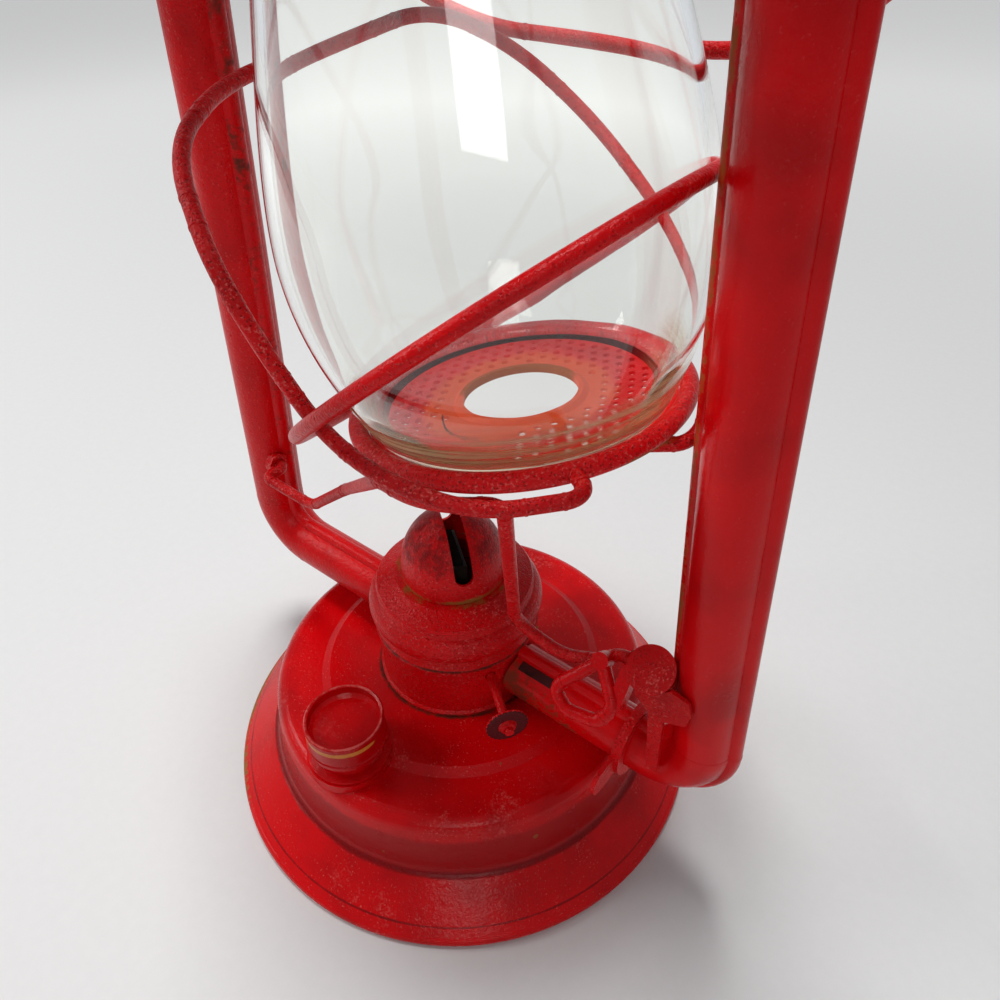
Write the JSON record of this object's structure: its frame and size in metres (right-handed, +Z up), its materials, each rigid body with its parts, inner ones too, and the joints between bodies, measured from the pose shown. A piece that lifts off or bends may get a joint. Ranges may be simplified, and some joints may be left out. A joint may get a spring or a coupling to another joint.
{
  "type": "hurricane lantern",
  "caption": "Red painted tubular kerosene lantern with a clear glass globe lifted on its wire crank, round fount, domed burner, filler cap and wire bail.",
  "frame": {"origin": "centre of the base rim on the table", "axes": "+Z up; the side tubes lie along X; the filler and the wick knob face -Y; metres"},
  "size_m": [0.2014, 0.165, 0.3678],
  "materials": {
    "red_paint": "glossy bright red enamel, dusty, with rust at edges",
    "shaded_red_paint": "duller red enamel with rust in the crevices",
    "clear_glass": "clear blown glass, lightly smoked",
    "brass": "dull brass",
    "cotton": "woven cotton, charred at the top",
    "cork_gasket": "dark flat gasket"
  },
  "bodies": {
    "stand": {"fount_shell": "red_paint", "fount_bottom": "shaded_red_paint", "filler_neck": "shaded_red_paint", "burner_drum": "red_paint", "burner_band": "red_paint", "burner_dome": "red_paint", "wick_tube": "brass", "left_tube": "red_paint", "right_tube": "red_paint", "arm_strap": "red_paint", "lever_bracket": "red_paint", "crank_eye": "red_paint", "bell_canopy": "red_paint", "crown_box": "red_paint", "bail_ears": "red_paint", "guide_rails": "shaded_red_paint"},
    "retainer": {"globe_retainer": "shaded_red_paint"},
    "carriage": {"globe": "clear_glass", "globe_plate": "red_paint", "carriage_ring": "red_paint", "plain_hoop": "red_paint", "hooked_guard": "red_paint", "hoop_links": "shaded_red_paint"},
    "crank": {"lift_crank": "red_paint", "thumb_loop": "red_paint"},
    "wick_knob": {"wick_shaft": "red_paint", "spur_wheels": "brass", "knob_disc": "shaded_red_paint"},
    "wick": {"wick": "cotton"},
    "filler_cap": {"filler_cap": "red_paint", "cap_gasket": "cork_gasket"},
    "bail": {"bail": "shaded_red_paint"}
  },
  "joints": [
    {"name": "globe_lift", "type": "slide", "parent": "stand", "child": "retainer", "axis": [0, 0, 1], "range_m": [-0.0524, 0]},
    {"name": "globe_swing", "type": "hinge", "parent": "retainer", "child": "carriage", "pos_m": [0, 0, 0.3179], "axis": [0, 1, 0], "range_deg": [0, 9.24]},
    {"name": "crank_turn", "type": "hinge", "parent": "stand", "child": "crank", "pos_m": [0, -0.005, 0.09], "axis": [1, 0, 0], "range_deg": [0, 78]},
    {"name": "knob_turn", "type": "hinge", "parent": "stand", "child": "wick_knob", "pos_m": [0.00253, 0.00348, 0.0563], "axis": [0.809, -0.5878, 0], "range_deg": [-120, 120]},
    {"name": "wick_slide", "type": "slide", "parent": "stand", "child": "wick", "axis": [0, 0, 1], "range_m": [-0.0056, 0.0056]},
    {"name": "cap_lift", "type": "slide", "parent": "stand", "child": "filler_cap", "axis": [0, 0, 1], "range_m": [0, 0.011]},
    {"name": "bail_swing", "type": "hinge", "parent": "stand", "child": "bail", "pos_m": [0, 0, 0.29921], "axis": [1, 0, 0], "range_deg": [0, 260]}
  ],
  "couplings": [
    {"joint": "globe_swing", "follows": "globe_lift", "rad_per_m": -3.077},
    {"joint": "crank_turn", "follows": "globe_lift", "rad_per_m": -25.97},
    {"joint": "knob_turn", "follows": "wick_slide", "rad_per_m": -370.37}
  ]
}
